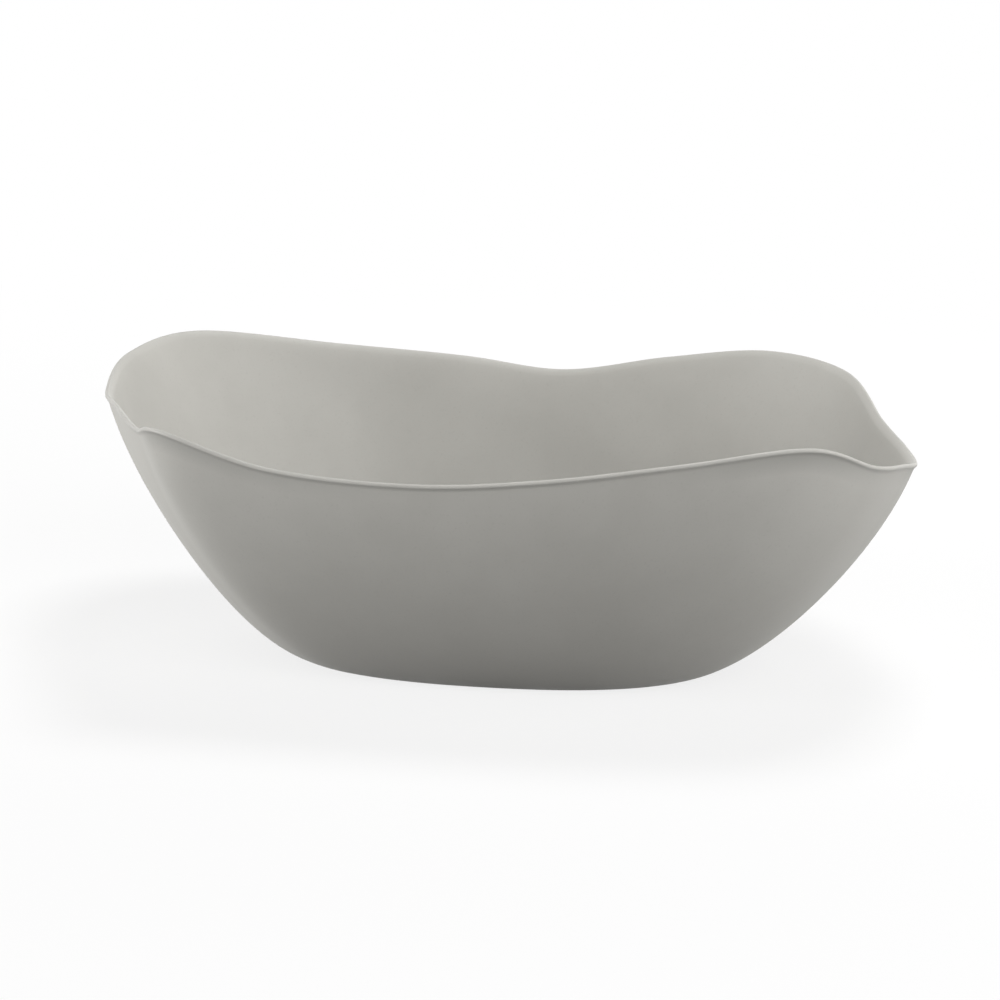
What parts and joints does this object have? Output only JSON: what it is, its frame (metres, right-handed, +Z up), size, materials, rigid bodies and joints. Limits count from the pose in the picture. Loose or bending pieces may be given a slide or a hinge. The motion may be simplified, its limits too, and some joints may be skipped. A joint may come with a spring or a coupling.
{
  "type": "salad bowl",
  "caption": "Oblong melamine salad bowl with soft corners, a wavy turned-out rim that dips to a pouring lip at the low end, curved flaring walls and a flat recessed foot.",
  "frame": {"origin": "Under the middle of the bowl's box, on the plane that the foot stands on.", "axes": "+X runs along the bowl's length towards its low end, +Y across its width away from the viewer, +Z up."},
  "size_m": [0.382, 0.2912, 0.1276],
  "materials": {
    "melamine": "matte"
  },
  "bodies": {
    "root": {"bowl": "melamine"}
  },
  "joints": []
}
